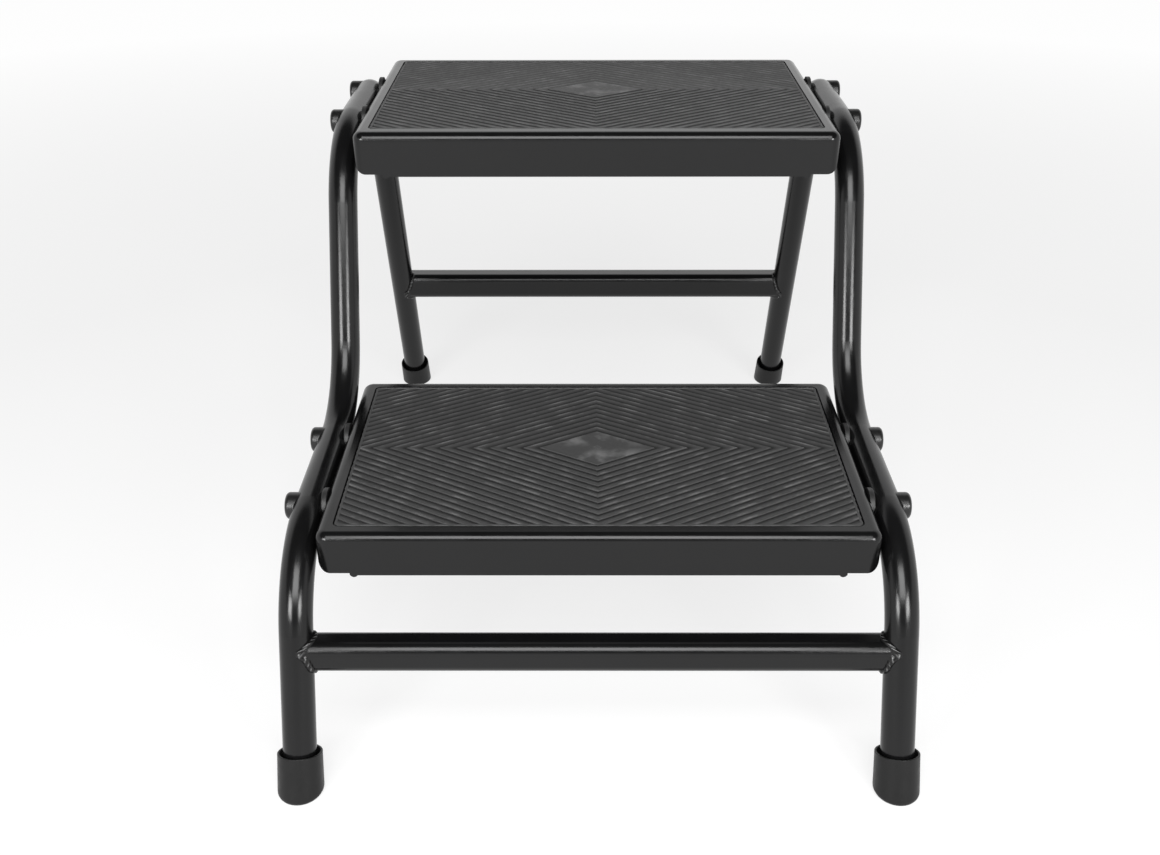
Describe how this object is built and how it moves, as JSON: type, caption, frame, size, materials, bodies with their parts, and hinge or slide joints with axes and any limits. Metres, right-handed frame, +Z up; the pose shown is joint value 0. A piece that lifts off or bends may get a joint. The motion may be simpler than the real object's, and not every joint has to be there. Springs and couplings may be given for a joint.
{
  "type": "double step stool",
  "caption": "Rigid black step stool with a lower and an upper ribbed tread bolted between bent tube sides, welded crossbars and rubber feet.",
  "frame": {"origin": "centre of the stool's outline on the floor", "axes": "+Z up, +Y from the front of the stool to its back, +X to the right as seen from the front"},
  "size_m": [0.481, 0.7382, 0.4134],
  "materials": {
    "frame_paint": "satin black powder coat on steel tube",
    "tread_plastic": "black moulded plastic with a fine satin grain",
    "mat_rubber": "dark grey ribbed anti-slip rubber",
    "foot_rubber": "matte black rubber",
    "cap_plastic": "black moulded plastic, slightly shiny",
    "washer_plastic": "black nylon",
    "fastener_steel": "zinc-plated steel"
  },
  "bodies": {
    "root": {"front_crossbar": "frame_paint", "left_front_foot": "foot_rubber", "left_rear_foot": "foot_rubber", "left_side_tube": "frame_paint", "lower_front_left_cap": "cap_plastic", "lower_front_left_saddle": "washer_plastic", "lower_front_left_spacer": "washer_plastic", "lower_front_right_cap": "cap_plastic", "lower_front_right_saddle": "washer_plastic", "lower_front_right_spacer": "washer_plastic", "lower_rear_left_cap": "cap_plastic", "lower_rear_left_saddle": "washer_plastic", "lower_rear_left_spacer": "washer_plastic", "lower_rear_right_cap": "cap_plastic", "lower_rear_right_saddle": "washer_plastic", "lower_rear_right_spacer": "washer_plastic", "lower_tread": "tread_plastic", "lower_tread_bolts": "fastener_steel", "lower_tread_mat": "mat_rubber", "lower_tread_nuts": "fastener_steel", "lower_tread_washers": "fastener_steel", "rear_crossbar": "frame_paint", "right_front_foot": "foot_rubber", "right_rear_foot": "foot_rubber", "right_side_tube": "frame_paint", "upper_front_left_cap": "cap_plastic", "upper_front_left_saddle": "washer_plastic", "upper_front_left_spacer": "washer_plastic", "upper_front_right_cap": "cap_plastic", "upper_front_right_saddle": "washer_plastic", "upper_front_right_spacer": "washer_plastic", "upper_rear_left_cap": "cap_plastic", "upper_rear_left_saddle": "washer_plastic", "upper_rear_left_spacer": "washer_plastic", "upper_rear_right_cap": "cap_plastic", "upper_rear_right_saddle": "washer_plastic", "upper_rear_right_spacer": "washer_plastic", "upper_tread": "tread_plastic", "upper_tread_bolts": "fastener_steel", "upper_tread_mat": "mat_rubber", "upper_tread_nuts": "fastener_steel", "upper_tread_washers": "fastener_steel"}
  },
  "joints": []
}
